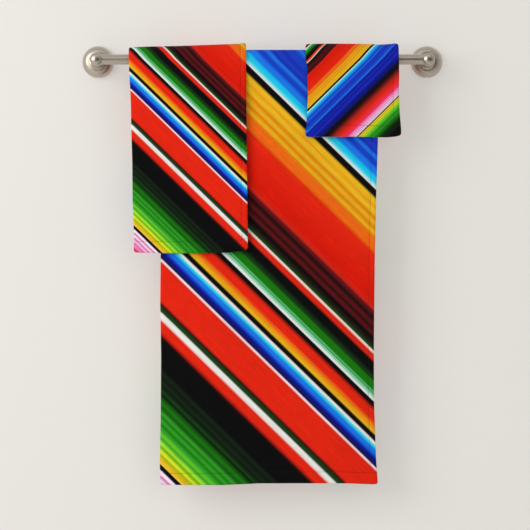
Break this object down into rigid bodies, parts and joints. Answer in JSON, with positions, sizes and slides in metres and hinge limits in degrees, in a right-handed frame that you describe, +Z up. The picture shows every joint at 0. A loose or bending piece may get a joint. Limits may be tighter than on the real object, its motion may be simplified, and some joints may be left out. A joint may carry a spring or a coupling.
{
  "type": "towel set on a wall rail",
  "caption": "Striped bath towel, hand towel and washcloth, each folded lengthwise and draped over a satin nickel wall rail with round flanges.",
  "frame": {"origin": "on the wall plane, at the centre of the four wall screw holes", "axes": "+X along the rail to the right as seen from the room, +Y into the wall, +Z up"},
  "size_m": [0.64, 0.0893, 0.772],
  "materials": {
    "satin_nickel": "satin brushed nickel plate",
    "zinc_steel": "bright zinc plate",
    "screw_steel": "plain stainless steel",
    "bath_print": "diagonal serape stripes printed on short pile",
    "hand_print": "diagonal serape stripes printed on short pile",
    "wash_print": "diagonal serape stripes printed on short pile",
    "terry_white": "looped cotton terry, unprinted reverse",
    "sewing_thread": "spun polyester thread",
    "label_satin": "woven satin ribbon, blank"
  },
  "bodies": {
    "root": {"rail_tube": "satin_nickel", "left_post": "satin_nickel", "right_post": "satin_nickel", "left_flange": "satin_nickel", "right_flange": "satin_nickel", "left_wall_plate": "zinc_steel", "right_wall_plate": "zinc_steel", "left_stem_screw": "screw_steel", "right_stem_screw": "screw_steel", "left_set_screw": "screw_steel", "right_set_screw": "screw_steel"},
    "bath_towel": {"bath_cloth": "bath_print", "bath_back_side_hem": "bath_print", "bath_front_side_hem": "bath_print", "bath_front_hem": "bath_print", "bath_back_hem": "bath_print", "bath_label": "label_satin"},
    "hand_towel": {"hand_back_drop": "hand_print", "hand_back_side_hem": "hand_print", "hand_back_hem": "hand_print", "hand_label": "label_satin"},
    "hand_towel_front": {"hand_front_drop": "hand_print", "hand_front_side_hem": "hand_print", "hand_front_hem": "hand_print"},
    "washcloth": {"wash_back_drop": "wash_print", "wash_back_side_hem": "wash_print", "wash_back_hem": "wash_print", "wash_label": "label_satin"},
    "washcloth_front": {"wash_front_drop": "wash_print", "wash_front_side_hem": "wash_print", "wash_front_hem": "wash_print"}
  },
  "joints": [
    {"name": "bath_slide", "type": "slide", "parent": "root", "child": "bath_towel", "axis": [1, 0, 0], "range_m": [-0.1, 0.078]},
    {"name": "hand_slide", "type": "slide", "parent": "root", "child": "hand_towel", "axis": [1, 0, 0], "range_m": [-0.048, 0.045]},
    {"name": "wash_slide", "type": "slide", "parent": "root", "child": "washcloth", "axis": [1, 0, 0], "range_m": [-0.045, 0.038]},
    {"name": "hand_front_swing", "type": "hinge", "parent": "hand_towel", "child": "hand_towel_front", "pos_m": [-0.2, -0.0866, 0], "axis": [-1, 0, 0], "range_deg": [0, 40]},
    {"name": "wash_front_swing", "type": "hinge", "parent": "washcloth", "child": "washcloth_front", "pos_m": [0.158, -0.0864, 0], "axis": [-1, 0, 0], "range_deg": [0, 40]}
  ]
}
